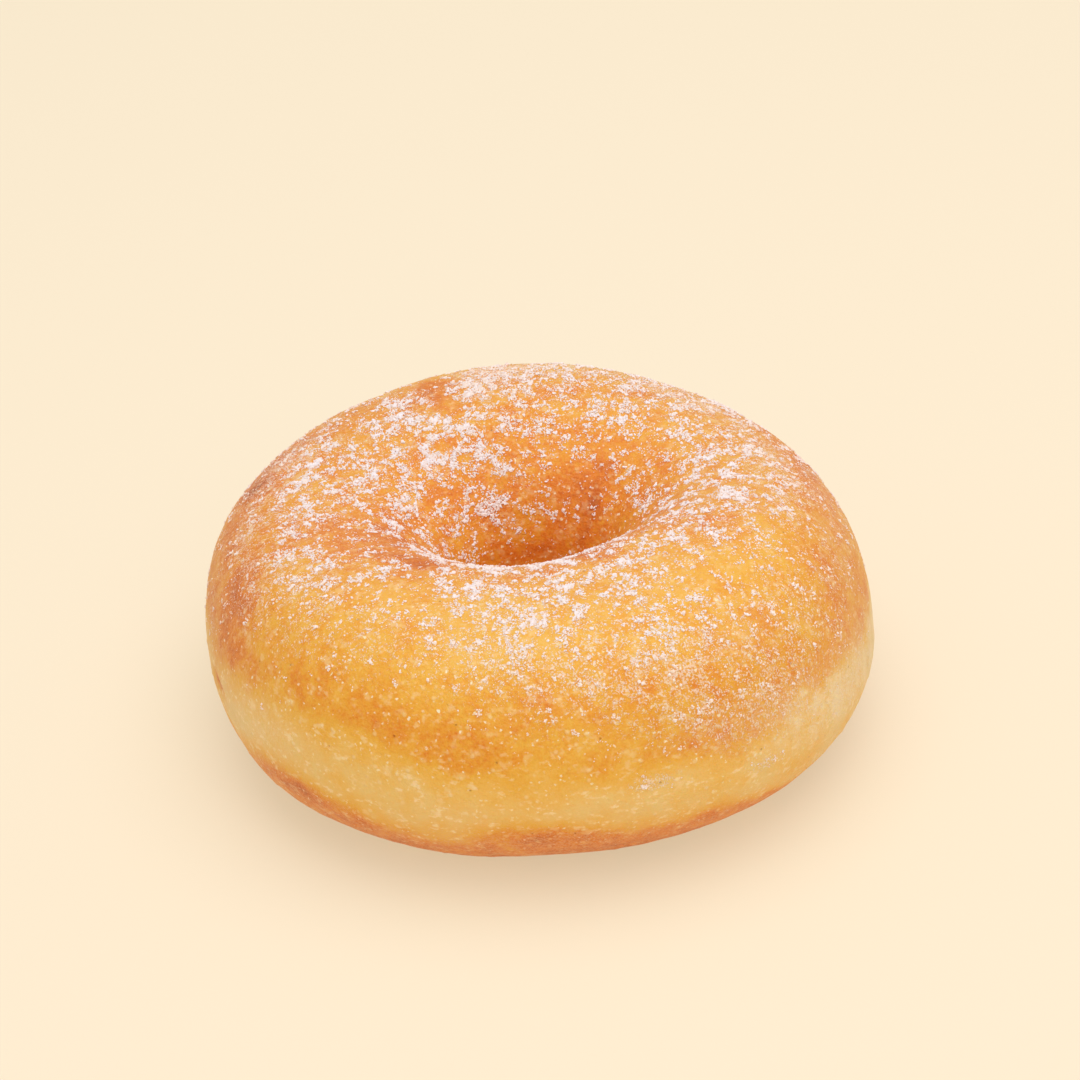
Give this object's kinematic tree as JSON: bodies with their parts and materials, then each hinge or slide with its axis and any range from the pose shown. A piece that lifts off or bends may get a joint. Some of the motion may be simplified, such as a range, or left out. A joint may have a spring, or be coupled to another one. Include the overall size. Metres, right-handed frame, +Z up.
{
  "type": "ring doughnut",
  "caption": "Fried ring doughnut with a slim hole, a pale waist band and a dusting of fine sugar, resting on a small flat underside.",
  "frame": {"origin": "middle of the ring's outline, on the surface that its underside rests on", "axes": "+Z up along the hole, -Y towards the fullest side of the ring"},
  "size_m": [0.0868, 0.0874, 0.0357],
  "materials": {
    "dough": "golden brown fried crust, satin with fine wrinkles, paler round the waist",
    "sugar": "fine dry powdered sugar, matt white"
  },
  "bodies": {
    "root": {"dough_ring": "dough"}
  },
  "joints": []
}
